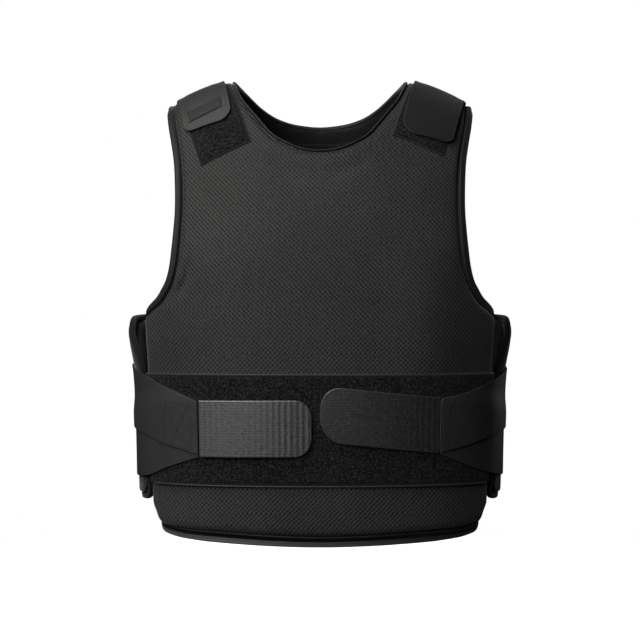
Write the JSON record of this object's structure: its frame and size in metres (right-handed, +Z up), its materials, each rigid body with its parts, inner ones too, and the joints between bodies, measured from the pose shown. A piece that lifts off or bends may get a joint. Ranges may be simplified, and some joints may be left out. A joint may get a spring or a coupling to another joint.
{
  "type": "stab vest",
  "caption": "Concealable stab vest: padded front and back panels in mesh carriers, shoulder straps, waist loop band and elastic side straps, held in its worn shape.",
  "frame": {"origin": "shoulder seat: midway between the shoulders, at the height where the wearer's shoulders carry the two straps", "axes": "+Z up, -Y towards the front of the vest, +X to the viewer's right of the front"},
  "size_m": [0.4362, 0.2424, 0.5207],
  "materials": {
    "mesh_fabric": "open warp knit mesh, matt",
    "binding_tape": "smooth woven tape, slight sheen",
    "lining_fabric": "smooth woven lining, matt",
    "loop_pile": "loop pile, very matt",
    "strap_fabric": "brushed knit on a stiff core, matt",
    "elastic_webbing": "woven elastic, matt",
    "ribbed_tab": "ribbed woven fabric over a stiff core"
  },
  "bodies": {
    "root": {"front_panel": "mesh_fabric", "front_hem_binding": "binding_tape", "front_armhole_binding_left": "binding_tape", "front_armhole_binding_right": "binding_tape", "front_neck_binding": "binding_tape", "back_panel": "mesh_fabric", "back_edge_binding": "binding_tape", "back_neck_binding": "binding_tape", "back_lining": "lining_fabric", "waist_loop_band": "loop_pile", "upper_elastic_left": "elastic_webbing", "upper_elastic_right": "elastic_webbing", "lower_elastic_left": "elastic_webbing", "lower_elastic_right": "elastic_webbing", "hook_tab_left": "ribbed_tab", "hook_tab_right": "ribbed_tab", "shoulder_patch_left": "loop_pile", "shoulder_patch_right": "loop_pile", "shoulder_strap_left": "strap_fabric", "shoulder_strap_right": "strap_fabric", "strap_label": "strap_fabric"}
  },
  "joints": []
}
